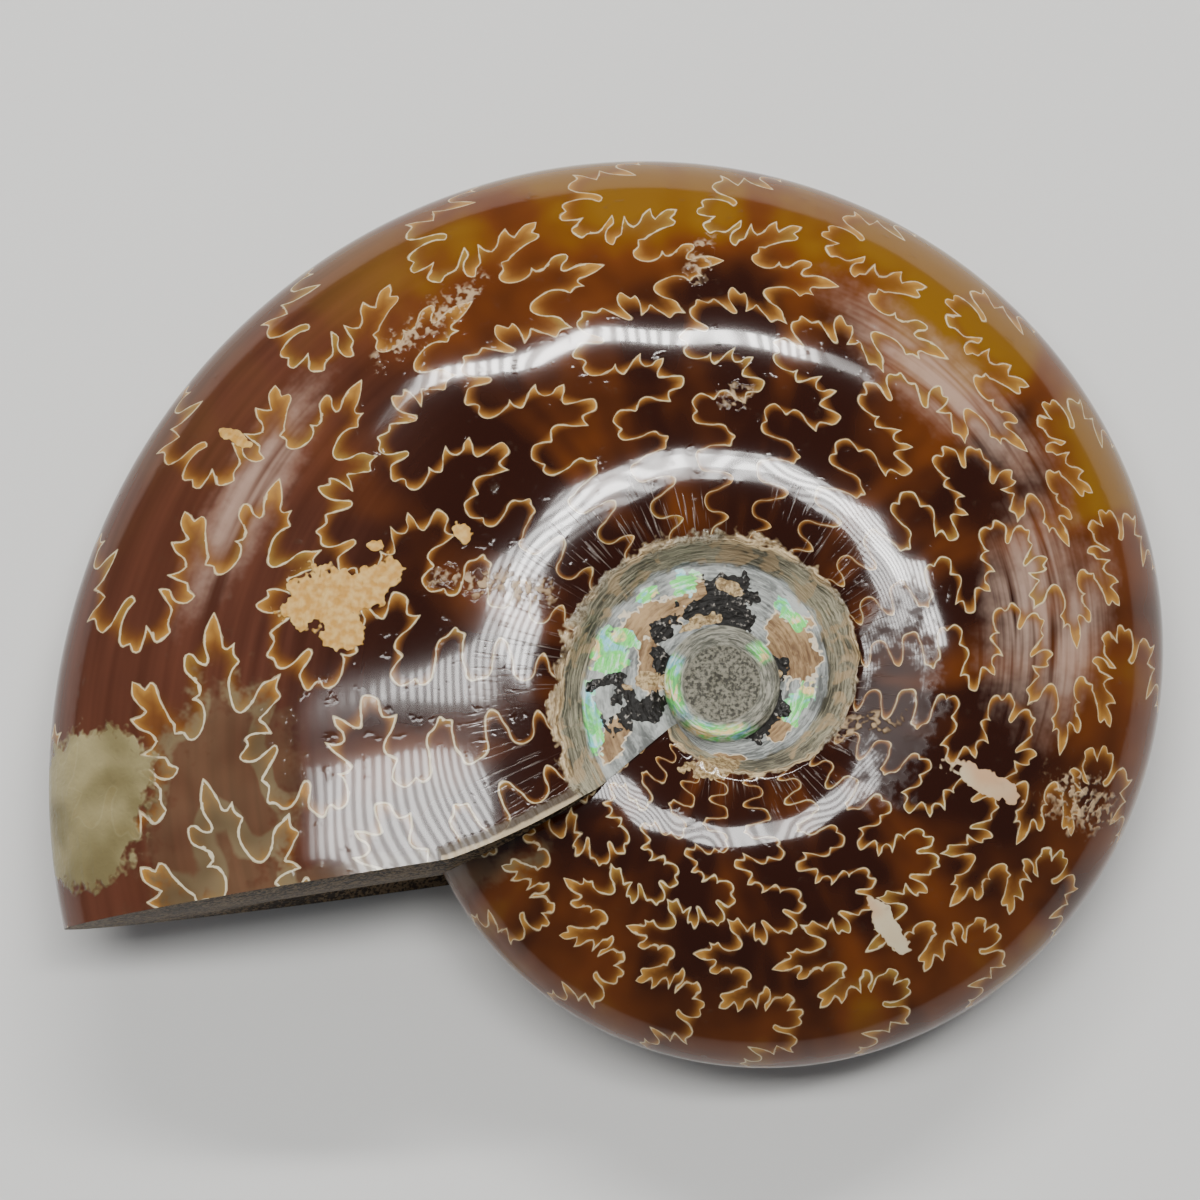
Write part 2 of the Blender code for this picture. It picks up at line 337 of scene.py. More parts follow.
# %%
# Laying the tiles
# how far the lines shift inwards, in wall spacings, at places along the coil
DRIFT_AT, DRIFT = [-9, -5, 2, 8, 13], [-0.18, -0.06, 0.10, 0.04, 0.0]
FIRST_TILE = int(math.floor((LAST_START - 0.6) / SPACING)) - 1
LAST_TILE = int(math.ceil((APERTURE_ANGLE + 0.3) / SPACING)) + 1


def share_of(angle, across):
    """Share of the whorl's outer radius at a distance in from the venter."""
    depth = np.clip(-across, 0, EDGE_AT)
    rounded = 1 - (1 - ROUND_FROM) * (np.minimum(depth, ROUND_WIDTH) / ROUND_WIDTH) ** RIM_POWER
    edge = umbilical_edge(angle) / venter(angle)
    far = np.clip((depth - ROUND_WIDTH) / (EDGE_AT - ROUND_WIDTH), 0, 1)
    return np.where(depth < ROUND_WIDTH, rounded, ROUND_FROM * (edge / ROUND_FROM) ** far)


def wander(u, w):
    """The lines of a real shell never repeat quite alike: they drift a little along the coil."""
    calm = np.sin(np.pi * np.clip(-w / EDGE_AT, 0, 1))
    drift = np.interp(u, DRIFT_AT, DRIFT)
    w = w + calm * (drift + 0.035 * np.sin(2.1 * u + 1.3 * w) + 0.02 * np.sin(5.3 * u - 2.9 * w))
    u = u + 0.05 * np.sin(1.7 * u + 0.5) + 0.03 * np.sin(3.1 * w + 0.9 * u)
    return u, w


def lay_tiles(tile):
    """A flat sheet with every tile of the last whorl, columns along x, distance in along y."""
    corners, triangles, away, narrow = tile
    sheet = bmesh.new()
    marks = [sheet.verts.layers.float.new(name) for name in ("away", "spiral")]
    golden = sheet.loops.layers.float.new("golden")
    for number in range(FIRST_TILE, LAST_TILE):
        u, w = wander(corners[:, 0] + number, corners[:, 1])
        angle = u * SPACING
        radius = share_of(angle, w) * venter(angle)
        column = angle - cut_angle(radius) + APERTURE_ANGLE
        if column.max() < LAST_START or column.min() > APERTURE_ANGLE:
            continue
        verts = []
        for n in range(len(corners)):
            vert = sheet.verts.new((column[n], w[n], 0))
            vert[marks[0]] = away[n] * SPACING
            vert[marks[1]] = angle[n]
            verts.append(vert)
        for face in triangles:
            panel = sheet.faces.new([verts[n] for n in face])
            for loop, n in zip(panel.loops, face):
                loop[golden] = narrow[n]
    bmesh.ops.remove_doubles(sheet, verts=sheet.verts[:], dist=2e-6)
    for place, normal in ((LAST_START, -1), (APERTURE_ANGLE, 1)):
        bmesh.ops.bisect_plane(sheet, geom=sheet.verts[:] + sheet.edges[:] + sheet.faces[:],
                               plane_co=(place, 0, 0), plane_no=(normal, 0, 0), dist=1e-5,
                               clear_outer=True)
    return sheet


sheets = {1: lay_tiles(fine_tile), -1: lay_tiles(coarse_tile)}
for side, sheet in sheets.items():
    print("side %d: %d corners, %d faces" % (side, len(sheet.verts), len(sheet.faces)))

# %% [markdown]
# Inside the umbilical edge the sheet goes on in plain rows: down the wall, over the strip of
# the whorl before that is still seen, round the pearly ring of the first whorls and over the
# little plug of matrix in the middle. Each row is drawn out of the edge of the one before.

# %%
# Rows in the umbilicus
WALL_ROWS, STRIP_ROWS = 4, 9
# radius and height of the rows over the first whorls and the plug, from outside to the middle
RING = [(0.0072, 0.01330), (0.0069, 0.01370), (0.0064, 0.01372), (0.0058, 0.01345),
        (0.0052, 0.01320), (0.0047, 0.01300), (0.0034, 0.01305), (0.0018, 0.01300)]
# thin layer on the whorl before near the aperture: thickness, angle it rises over, its edge
COVER, COVER_LENGTH, COVER_EDGE = 0.00035, 0.5, 0.002
LIP_WIDTH = 0.0022
# corners of the broken umbilical edge: how far they stand out, the angle from one to the next
# and the seed, once for each size of chip
CHIPS = [(0.00115, 0.42, 5), (0.00075, 0.17, 8), (0.00028, 0.05, 6)]
DENT_DEPTH, DENT_STEP, DENT_SEED = 0.00022, 0.11, 7
# the chips are deepest just below the edge, and stop short of the ends of the whorl
CHIPS_AT, CHIPS_REACH, CHIPS_END = 0.10, 0.32, 0.15
# the skin is 1 percent thinner than the solid, so that its details stay within the solid's box
SKIN_SHARE = 0.990


def draw_rows(sheet):
    """Extrudes the umbilical edge row by row; y keeps counting on below the edge."""
    steps = [-EDGE_AT - n / WALL_ROWS for n in range(1, WALL_ROWS + 1)]
    steps += [-EDGE_AT - 1 - n / STRIP_ROWS for n in range(1, STRIP_ROWS + 1)]
    steps += [-EDGE_AT - 2 - (n + 1) / len(RING) for n in range(len(RING))]
    border = [e for e in sheet.edges if e.is_boundary
              and all(abs(v.co.y + EDGE_AT) < 1e-4 for v in e.verts)]
    for level in steps:
        grown = bmesh.ops.extrude_edge_only(sheet, edges=border)['geom']
        border = [e for e in grown if isinstance(e, bmesh.types.BMEdge)
                  and all(v in grown for v in e.verts)]
        verts = {v for e in border for v in e.verts}
        border = [e for e in border if e.is_boundary]
        for vert in verts:
            vert.co.y = level


def chips(angle, step, seed):
    """A broken edge: straight runs between uneven corners, the same on every turn."""
    random = np.random.default_rng(seed)
    corners = random.uniform(-1, 1, int(round(TURN / step)))
    run = np.mod(angle, TURN) / TURN * len(corners)
    first = np.floor(run).astype(int)
    share = run - first
    count = len(corners)
    return corners[first % count] * (1 - share) + corners[(first + 1) % count] * share


def crumble(column, across, angle, radius, height):
    """Moves the points near the umbilical edge, where the shell has chipped."""
    depth = -EDGE_AT - across
    near = np.clip(1 - np.abs(depth - CHIPS_AT) / CHIPS_REACH, 0, 1)
    near = near * np.clip((APERTURE_ANGLE - column) / CHIPS_END, 0, 1)
    near = near * np.clip((column - LAST_START) / CHIPS_END, 0, 1)
    radius = radius + near * sum(size * chips(angle, step, seed) for size, step, seed in CHIPS)
    height = height - near * DENT_DEPTH * (1 + chips(angle, DENT_STEP, DENT_SEED))
    return radius, height


def place(column, across, side):
    """Points of the skin in the coil's own frame, and their angle along the coil."""
    inner = np.clip(-EDGE_AT - across, 0, 3)
    radius = share_of(column, across) * venter(column)
    for _ in range(PASSES):
        angle = true_angle(column, radius)
        radius = share_of(angle, across) * venter(angle)
    edge, foot = radius_on(column, umbilical_edge), radius_on(column, wall_foot)
    strip = foot + (MIDDLE_RADIUS - foot) * np.clip(inner - 1, 0, 1)
    levels = [2.0] + [2 + (n + 1) / len(RING) for n in range(len(RING))]
    ring = np.interp(inner, levels, [MIDDLE_RADIUS] + [away for away, _ in RING])
    radius = np.where(inner > 0, edge + (foot - edge) * np.clip(inner, 0, 1), radius)
    radius = np.where(inner > 1, strip, radius)
    radius = np.where(inner > 2, ring, radius)
    angle = true_angle(column, radius)
    before = surface(angle - TURN, radius)
    ramp = np.clip((column - APERTURE_ANGLE) / COVER_LENGTH + 1, 0, 1)
    before = before + COVER * ramp * np.clip((radius - MIDDLE_RADIUS) / COVER_EDGE, 0, 1)
    height = np.where(inner > 1, before, surface(angle, radius))
    level = np.interp(inner, levels, [0] + [high for _, high in RING])
    height = np.where(inner > 2, level, height)
    height = np.where(across > -1e-6, 0, height)
    radius, height = crumble(column, across, angle, radius, height)
    height = side * SKIN_SHARE * height
    return np.stack([radius * np.cos(angle), radius * np.sin(angle), height], 1), angle, radius


def wrap(sheet, side):
    """Bends the flat sheet into the skin of one flank and gives it as a mesh."""
    marks = sheet.verts.layers.float
    inward, lip = marks.new("inward"), marks.new("lip")
    line, spiral = marks["away"], marks["spiral"]
    flat = np.array([tuple(v.co) for v in sheet.verts])
    points, angles, radii = place(flat[:, 0], flat[:, 1], side)
    for vert, (column, across, _), point, angle, radius in zip(
            sheet.verts, flat, points, angles, radii):
        vert[inward] = across
        vert[spiral] = angle
        vert[line] = 0.01 if across < -EDGE_AT - 1e-3 else vert[line] * radius
        near_cut = 1 - (APERTURE_ANGLE - column) * radius / LIP_WIDTH
        vert[lip] = max(0.0, near_cut) if radius < LIP_OUTER + 0.001 else 0.0
        vert.co = point
    if side < 0:
        bmesh.ops.reverse_faces(sheet, faces=sheet.faces[:])
    mesh = bpy.data.meshes.new("flank")
    sheet.to_mesh(mesh)
    sheet.free()
    return mesh


skin = bmesh.new()
for side, sheet in sheets.items():
    draw_rows(sheet)
    half = wrap(sheet, side)
    skin.from_mesh(half)
    bpy.data.meshes.remove(half)
bmesh.ops.remove_doubles(skin, verts=skin.verts[:], dist=1.5e-6)
bmesh.ops.dissolve_degenerate(skin, edges=skin.edges[:], dist=1e-6)
print("skin: %d corners, %d faces" % (len(skin.verts), len(skin.faces)))

# %% [markdown]
# Two openings are left: the small hole in the middle, which is drawn together to a point, and
# the sawn end. There the saw went through the last whorl and left the whorl before standing
# proud of the cut, so the face is the ring between the two sections.

# %%
# Closing the skin
def close_middle(bm):
    inward = bm.verts.layers.float["inward"]
    for side in (1, -1):
        border = [e for e in bm.edges if e.is_boundary and side * e.verts[0].co.z > 0
                  and all(v[inward] < -EDGE_AT - 2.99 for v in e.verts)]
        grown = bmesh.ops.extrude_edge_only(bm, edges=border)['geom']
        verts = [v for v in grown if isinstance(v, bmesh.types.BMVert)]
        centre = (0, 0, side * RING[-1][1])
        bmesh.ops.pointmerge(bm, verts=verts, merge_co=centre)


def close_sawn_end(bm):
    """Fills the closed border between the last section and the whorl before."""
    border = [e for e in bm.edges if e.is_boundary]
    vert = border[0].verts[0]
    ring, edge = [vert], border[0]
    while True:
        vert = edge.other_vert(vert)
        if vert is ring[0]:
            break
        ring.append(vert)
        edge = [e for e in vert.link_edges if e.is_boundary and e is not edge][0]
    flat = [Vector((math.hypot(v.co.x, v.co.y), v.co.z, 0)) for v in ring]
    sawn = bm.loops.layers.float.new("sawn")
    count = 0
    for triple in tessellate_polygon([flat]):
        face = bm.faces.new([ring[n] for n in triple])
        for loop in face.loops:
            loop[sawn] = 1
        count += 1
    print("sawn end: border of %d corners, %d triangles" % (len(ring), count))


close_middle(skin)
close_sawn_end(skin)
bmesh.ops.recalc_face_normals(skin, faces=skin.faces[:])
left_open = sum(1 for e in skin.edges if not e.is_manifold)
print("skin closed: %d faces, %d edges left open" % (len(skin.faces), left_open))

# %% [markdown]
# For the finish the skin is spread out flat: the upper flank large, the lower flank small
# beside it, the sawn face in the corner. The rounded venter is laid outwards so that it isn't
# squeezed.

# %%
# Spreading out the skin for its finish
# sheet widths per metre of stone, the corner of each part on the sheet, and what is there
UPPER_SCALE, UPPER_CORNER = 4.7, (0.005, 0.005)
LOWER_SCALE, LOWER_CORNER = 2.1, (0.005, 0.670)
SAWN_SCALE, SAWN_CORNER, SAWN_FROM = 5.2, (0.36, 0.80), 0.007
LEFT_END, FRONT_END = 0.0990, 0.0560
# how much wider the venter is laid out than the coil is
VENTER_ROOM = 0.17


def spread(bm):
    uv = bm.loops.layers.uv.new("OFBake")
    sawn = bm.loops.layers.float["sawn"]
    inward = bm.verts.layers.float["inward"]
    for face in bm.faces:
        cut = face.loops[0][sawn] > 0.5
        upper = face.calc_center_median().z > 0
        for loop in face.loops:
            x, y, z = loop.vert.co
            radius = math.hypot(x, y)
            if cut:
                loop[uv].uv = (SAWN_CORNER[0] + SAWN_SCALE * (radius - SAWN_FROM),
                               SAWN_CORNER[1] + SAWN_SCALE * z)
                continue
            rim_part = max(0.0, 1 + loop.vert[inward] / ROUND_WIDTH)
            stretch = 1.0
            if rim_part > 0:
                share = 1 - (1 - ROUND_FROM) * (1 - rim_part) ** RIM_POWER
                stretch = (ROUND_FROM + VENTER_ROOM * rim_part) / share
            scale = UPPER_SCALE if upper else LOWER_SCALE
            corner = UPPER_CORNER if upper else LOWER_CORNER
            loop[uv].uv = (corner[0] + scale * (x * stretch + LEFT_END),
                           corner[1] + scale * (y * stretch + FRONT_END))


spread(skin)

# %% [markdown]
# The coil lies on its flank and leans a little, resting on the fullest parts of the last whorl.
# Where it touches it is flat.

# %%
# Laying it down
COIL_AXIS = Vector((0.01439, -0.01186, 0.01982))
SHARP = math.radians(50)
bmesh.ops.transform(skin, matrix=Matrix.Translation(COIL_AXIS) @ LEAN, verts=skin.verts[:])
for vert in skin.verts:
    vert.co.z = max(vert.co.z, 0.0)
mesh = bpy.data.meshes.new("ammonite skin")
skin.to_mesh(mesh)
skin.free()
mesh.shade_smooth()
mesh.set_sharp_from_angle(angle=SHARP)
ammonite = bpy.data.objects.new("ammonite_skin", mesh)
bpy.context.collection.objects.link(ammonite)
low = [min(v.co[a] for v in mesh.vertices) for a in range(3)]
high = [max(v.co[a] for v in mesh.vertices) for a in range(3)]
print("ammonite: %d triangles, %s to %s mm" % (
    len(mesh.polygons), [round(1000 * c, 1) for c in low], [round(1000 * c, 1) for c in high]))

# %% [markdown]
# Some places on the upper flank are stained, filled or left unpolished, some carry painted sheen,
# and the bare umbilicus has patches of pearly shell, flesh-coloured shell and near-black painted
# shade in the hollow round the first whorls. Each is an oval given by its centre, its two half
# sizes in mm and its turn in degrees, from the axis of the coil. Every corner of the upper side
# gets a number for each kind: 1 in the middle of an oval, 0 at its edge and less outside.

# %%
# Where the stone is marked
PATCHES = {
    "khaki": [(-82.5, -13.0, 8.4, 7.6, 0), (-83.5, -19.0, 7.4, 7.6, 0)],
    "silt": [(-65.0, -17.0, 9.5, 15.5, -8), (-50.0, -27.0, 26.0, 3.0, 9)],
    "ochre": [(-52.5, 10.8, 5.2, 3.6, 10), (-46.5, 12.0, 5.0, 2.6, 35),
              (-49.5, 6.3, 3.0, 2.6, 0), (-33.7, 19.5, 1.6, 1.4, 0),
              (-64.2, 33.2, 2.6, 0.9, -30), (-45.1, 17.6, 1.2, 0.8, 0)],
    "cream": [(34.9, -12.9, 5.6, 1.5, -24), (22.1, -32.0, 3.9, 1.4, -56)],
    "broken": [(48.0, -14.8, 4.6, 3.0, -20), (-29.0, 12.4, 6.0, 1.6, -8),
               (-38.3, 48.7, 7.0, 1.8, 40), (-2.3, 57.2, 3.6, 1.4, 80),
               (2.1, 38.1, 1.8, 1.6, 0), (19.0, -5.5, 4.0, 1.2, 10)],
    "worn": [(22.8, -2.0, 12.0, 5.0, 84)],
    # painted sheen: milky white streaks standing for reflections on the low folds
    "painted_sheen": [(41.5, 11.0, 10.5, 4.6, 84), (47.0, 6.0, 9.0, 3.0, 70), (30.0, 40.5, 13.0, 3.6, -42),
              (-62.0, 25.0, 12.0, 3.0, 62)],
    "tan": [(-8.6, 8.6, 5.6, 2.4, 24), (-3.6, 12.2, 2.2, 1.6, 10), (9.3, 4.8, 3.4, 4.6, 8),
            (-9.0, 2.6, 1.7, 4.6, 0), (-13.4, -6.6, 1.5, 4.0, -22), (8.0, -5.2, 1.4, 2.2, -40),
            (-0.5, -10.2, 4.4, 1.2, 0)],
    "pearly": [(-14.6, 3.9, 3.1, 2.8, 20), (-12.6, 6.4, 2.2, 1.0, -35), (-17.0, -4.4, 1.4, 4.8, 8),
               (-4.9, 13.3, 2.2, 1.5, 35), (-9.2, 12.0, 2.8, 0.8, 32), (9.6, 9.3, 2.6, 1.0, -48),
               (10.3, -2.4, 1.6, 3.0, -30)],
    "painted_hollow_shade": [(1.6, 11.4, 3.0, 3.2, 0), (3.0, 8.6, 1.8, 2.4, 0), (-2.6, 9.8, 3.8, 1.0, 22),
              (-6.9, 7.0, 1.6, 3.4, -32), (-7.6, 3.0, 1.1, 2.4, 0), (-10.8, -3.6, 3.8, 2.5, 12),
              (5.6, -4.8, 1.7, 3.2, -50), (7.2, -1.6, 1.2, 2.8, 0), (7.9, 1.8, 1.5, 1.9, 0),
              (-8.0, -2.6, 1.6, 1.8, 30), (-14.6, 0.4, 3.0, 0.7, 18)],
    "crumb": [(-3.0, 8.1, 3.0, 0.8, 22), (1.6, 12.9, 1.6, 0.8, -20), (8.0, 1.6, 0.6, 0.7, 0),
              (-9.4, 0.4, 2.0, 1.2, 10), (-0.8, -11.2, 3.4, 1.3, 0)],
    "sheen": [(-5.6, 0.0, 1.6, 3.8, 6), (0.0, -5.8, 4.2, 1.5, -6), (4.4, 3.6, 1.5, 3.6, -48)]}
FAR_OUTSIDE, OUTSIDE = -9.0, -2.0


def mark_patches(mesh):
    points = np.empty(3 * len(mesh.vertices))
    mesh.vertices.foreach_get("co", points)
    points = 1000 * (points.reshape(-1, 3) - np.array(COIL_AXIS))
    for kind, ovals in PATCHES.items():
        depth = np.full(len(points), FAR_OUTSIDE)
        for centre_x, centre_y, long, wide, turned in ovals:
            c, s = math.cos(math.radians(turned)), math.sin(math.radians(turned))
            dx, dy = points[:, 0] - centre_x, points[:, 1] - centre_y
            size = np.hypot((dx * c + dy * s) / long, (dy * c - dx * s) / wide)
            depth = np.maximum(depth, 1 - size)
        depth[points[:, 2] < 0] = FAR_OUTSIDE
        mark = mesh.attributes.new(kind, 'FLOAT', 'POINT')
        mark.data.foreach_set("value", np.maximum(depth, OUTSIDE))
        print("%s: %d corners" % (kind, int(np.sum(depth > 0))))


mark_patches(mesh)

# %% [markdown]
# Finishes are worked out with ordinary sums on values that differ from place to place. One
# small class stands for such a value: its operators add the node that does the sum.

# %%
# Values that vary over the surface
class Value:
    """An output of the finish's node tree that can be used in sums."""
    tree = None

    def __init__(self, socket):
        self.socket = socket

    @classmethod
    def node(cls, kind, settings=None, output=0, **values):
        made = cls.tree.nodes.new("ShaderNode" + kind)
        for name, value in (settings or {}).items():
            setattr(made, name, value)
        for name, value in values.items():
            key = int(name[1:]) if name[1:].isdigit() else name.replace("_", " ")
            if isinstance(value, Value):
                cls.tree.links.new(value.socket, made.inputs[key])
            else:
                made.inputs[key].default_value = value
        return cls(made.outputs[output])

    @classmethod
    def math(cls, operation, *terms):
        values = {"i%d" % n: term for n, term in enumerate(terms)}
        return cls.node("Math", {"operation": operation}, **values)

    def __add__(self, other):
        return Value.math("ADD", self, other)

    def __radd__(self, other):
        return Value.math("ADD", other, self)

    def __sub__(self, other):
        return Value.math("SUBTRACT", self, other)

    def __rsub__(self, other):
        return Value.math("SUBTRACT", other, self)

    def __mul__(self, other):
        return Value.math("MULTIPLY", self, other)

    def __rmul__(self, other):
        return Value.math("MULTIPLY", other, self)

    def __truediv__(self, other):
        return Value.math("DIVIDE", self, other)

    def __neg__(self):
        return Value.math("MULTIPLY", self, -1.0)

    def at_least(self, other):
        return Value.math("MAXIMUM", self, other)

    def ramp(self, low, high):
        """0 up to low, 1 from high, smooth between; falling when low is above high."""
        return Value.node("MapRange", {"interpolation_type": "SMOOTHSTEP"},
                          Value=self, From_Min=low, From_Max=high)

    def mix(self, under, over):
        """under where this is 0, over where it is 1, for colours."""
        return Value.node("Mix", {"data_type": "RGBA"}, 2, i0=self, i6=under, i7=over)


def noise(place, scale, detail=2.0, rough=0.5, warp=0.0):
    return Value.node("TexNoise", None, "Fac", Vector=place, Scale=scale, Detail=detail,
                      Roughness=rough, Distortion=warp)


def colour(red, green, blue):
    return (red, green, blue, 1.0)


def joined(a, b, c=0.0):
    return Value.node("CombineXYZ", None, X=a, Y=b, Z=c)


def mark(name):
    """A number that the skin carries at its corners."""
    return Value.node("Attribute", {"attribute_name": name}, "Fac")


def patch(kind, torn, soft=0.08):
    """1 inside the ovals of one kind, with torn edges."""
    return (mark(kind) + 2 * torn * ragged).ramp(-soft, soft)


# %% [markdown]
# The finish follows the coil, so its values are how far a place is from the nearest frilled
# line, its angle along the coil and its distance in from the venter. Three kinds of unevenness
# run through the whole stone: clouds, grains and tears.

# %%
# What the finish is worked out from
CLOUDS_PER_METRE, GRAINS_PER_METRE, TEARS_PER_METRE = 85.0, 950.0, 430.0
SHIMMER_PER_METRE, DUST_PER_METRE = 300.0, 2300.0
MIDDLE_LOW, MIDDLE_HIGH = 0.018, 0.022
material = bpy.data.materials.new("polished stone")
material.use_nodes = True
Value.tree = material.node_tree
nodes = material.node_tree.nodes
shader = nodes["Principled BSDF"]
here = Value.node("TexCoord", None, "Object")
right = Value.node("SeparateXYZ", None, "X", Vector=here) - COIL_AXIS.x
back = Value.node("SeparateXYZ", None, "Y", Vector=here) - COIL_AXIS.y
upper = Value.node("SeparateXYZ", None, "Z", Vector=here).ramp(MIDDLE_LOW, MIDDLE_HIGH)
away = 1000 * mark("away")
angle, inward, golden, sawn = mark("spiral"), mark("inward"), mark("golden"), mark("sawn")
below = -1 * (inward + EDGE_AT)
cloud = noise(here, CLOUDS_PER_METRE, 2.0, 0.6)
grain = noise(here, GRAINS_PER_METRE, 1.0, 0.6)
ragged = noise(here, TEARS_PER_METRE, 2.0, 0.65) - 0.5
shimmer = noise(here, SHIMMER_PER_METRE, 2.0, 0.5, 1.0)
fine = noise(here, DUST_PER_METRE, 1.0, 0.6)
speck = (0.35 * grain + 0.65 * fine).ramp(0.38, 0.62)
streaks = noise(joined(angle * 1.6, inward * 9.0), 1.0, 2.0, 0.6)

# %% [markdown]
# The stone is calcite stained by iron: dark red-brown near the middle, amber and honey where
# the light gets in near the venter, lighter still on the side towards the lamps as painted light,
# and redder on the left. Milky white streaks of painted sheen lie where the low folds would catch
# the light.

# %%
# The clear stone between the lines
DARK_BROWN, AMBER = colour(0.017, 0.0032, 0.0010), colour(0.105, 0.027, 0.0040)
HONEY = colour(0.17, 0.080, 0.006)
DARK_RED, LIGHT_RED = colour(0.050, 0.016, 0.009), colour(0.098, 0.033, 0.019)
PAINTED_SHEEN_WHITE = colour(0.46, 0.32, 0.25)
REDDISH_FROM, REDDISH_FULL = 0.030, 0.062
PAINTED_LIGHT_FROM, PAINTED_LIGHT_FULL = 0.010, 0.050


def clear_stone():
    bands = noise(joined(angle * 3.1, inward * 0.30), 1.0, 2.0, 0.55, 0.4)
    # painted light: the upper flank is lighter towards the back, the side the lamps stand on
    top = back.ramp(PAINTED_LIGHT_FROM, PAINTED_LIGHT_FULL) * upper
    venter_tone_and_painted_light = inward.ramp(-2.0, -0.3) * (0.75 + 0.45 * top)
    light = venter_tone_and_painted_light + 2.7 * (bands - 0.5) + 1.3 * (cloud - 0.5) - 0.12
    stone = light.ramp(-0.25, 0.85).mix(DARK_BROWN, AMBER)
    stone = (0.9 * light.ramp(0.60, 1.25)).mix(stone, HONEY)
    reddish = (-right).ramp(REDDISH_FROM, REDDISH_FULL) * inward.ramp(-2.8, -1.2) * upper
    red = streaks.ramp(0.2, 0.8).mix(DARK_RED, LIGHT_RED)
    stone = (0.85 * reddish).mix(stone, red)
    # painted sheen: milky white streaks where the low folds would reflect the lamps
    painted_sheen = patch("painted_sheen", 0.5, 0.9) * streaks.ramp(0.25, 0.60)
    return (0.65 * painted_sheen).mix(stone, PAINTED_SHEEN_WHITE)


body = clear_stone()
print("clear stone: %d nodes" % len(nodes))

# %% [markdown]
# The walls between the rooms show as cream lines, and the narrow prongs along them glow golden
# and bronze, because light comes back from the walls there. Distances from a line are in mm.
# The lines are stronger near the venter, on the tips of the prongs and towards the aperture.

# %%
# The golden prongs and the cream lines
GLOW, BRONZE = colour(0.125, 0.042, 0.009), colour(0.22, 0.095, 0.016)
GOLD = colour(0.44, 0.23, 0.050)
OLIVE, CREAM_LINE = colour(0.20, 0.155, 0.035), colour(0.62, 0.53, 0.33)
GLOW_REACH, GOLD_REACH = 3.6, 0.85
LINE_SOFTNESS = 0.085
gold = golden.ramp(0.34, 0.70) * Value.math("EXPONENT", away / -GOLD_REACH)
outer, tips = inward.ramp(-4.4, -2.4), golden.ramp(0.36, 0.60)
newest = angle.ramp(2.4, 3.6) * upper
width = 0.005 + 0.02 * outer + 0.03 * tips + 0.04 * newest
wobble = away + 0.22 * (grain - 0.5) + 0.14 * ragged
line = 1 - wobble.ramp(width, width + LINE_SOFTNESS)


def lined(stone):
    glow = golden.ramp(0.28, 0.56) * Value.math("EXPONENT", away / -GLOW_REACH)
    stone = (0.80 * glow).mix(stone, GLOW)
    metal = golden.ramp(0.42, 0.72).mix(BRONZE, GOLD)
    metal = (0.6 * cloud.ramp(0.52, 0.62)).mix(metal, OLIVE)
    stone = (0.9 * gold).mix(stone, metal)
    strength = 0.05 + 0.22 * outer + 0.44 * tips + 0.25 * newest + 0.9 * (cloud - 0.5)
    return (line * strength).mix(stone, CREAM_LINE)


body = lined(body)
print("with lines: %d nodes" % len(nodes))

# %% [markdown]
# The polishing wheel left fine scratches round the umbilicus. By the aperture the stone is
# stained khaki and silt has filled it; ochre and cream fillings and small broken places lie
# further on. The marks are colour here, because they are level with the polish.

# %%
# Scratches, stains and fillings
SCRATCHED = colour(0.46, 0.40, 0.35)
DARK_KHAKI, LIGHT_KHAKI = colour(0.15, 0.125, 0.055), colour(0.33, 0.285, 0.145)
DARK_SILT, LIGHT_SILT = colour(0.085, 0.060, 0.030), colour(0.175, 0.135, 0.075)
LINE_IN_SILT = colour(0.62, 0.56, 0.40)
DARK_OCHRE, LIGHT_OCHRE = colour(0.43, 0.22, 0.042), colour(0.54, 0.345, 0.115)
FLESH_CREAM, PALE_CREAM = colour(0.48, 0.30, 0.17), colour(0.50, 0.42, 0.28)
BROKEN = colour(0.50, 0.36, 0.21)
scratches = noise(joined(angle * 60.0, inward * 1.3), 1.0, 1.0, 0.5).ramp(0.58, 0.72)
scratches = scratches * inward.ramp(-3.3, -4.3) * cloud.ramp(0.42, 0.60)
khaki, ochre, cream = patch("khaki", 0.5, 0.10), patch("ochre", 1.0, 0.05), patch("cream", 0.9, 0.06)
silt = patch("silt", 0.7, 0.25) * (0.30 + 0.70 * golden.ramp(0.30, 0.36))
broken = patch("broken", 1.6, 0.5) * grain.ramp(0.46, 0.60)


def marked(stone):
    stone = (0.24 * scratches).mix(stone, SCRATCHED)
    stone = (0.94 * khaki).mix(stone, cloud.ramp(0.35, 0.65).mix(DARK_KHAKI, LIGHT_KHAKI))
    filled = 0.88 * silt * (1 - 0.4 * gold)
    stone = filled.mix(stone, cloud.ramp(0.3, 0.7).mix(DARK_SILT, LIGHT_SILT))
    stone = (0.8 * line * (silt - khaki).at_least(0.0)).mix(stone, LINE_IN_SILT)
    stone = ochre.mix(stone, grain.ramp(0.3, 0.7).mix(DARK_OCHRE, LIGHT_OCHRE))
    stone = cream.mix(stone, cloud.ramp(0.4, 0.6).mix(FLESH_CREAM, PALE_CREAM))
    return (0.65 * broken).mix(stone, BROKEN)


body = marked(body)
print("with marks: %d nodes" % len(nodes))

# %% [markdown]
# At the lip the cut layers of the shell show as a beige line along the cut with a dark band behind
# it. Along the umbilical edge they are seen from the side: beige bands with dark dirt between. The
# wall below is crumbly and grey-olive, and the strip of the whorl before is greyer.

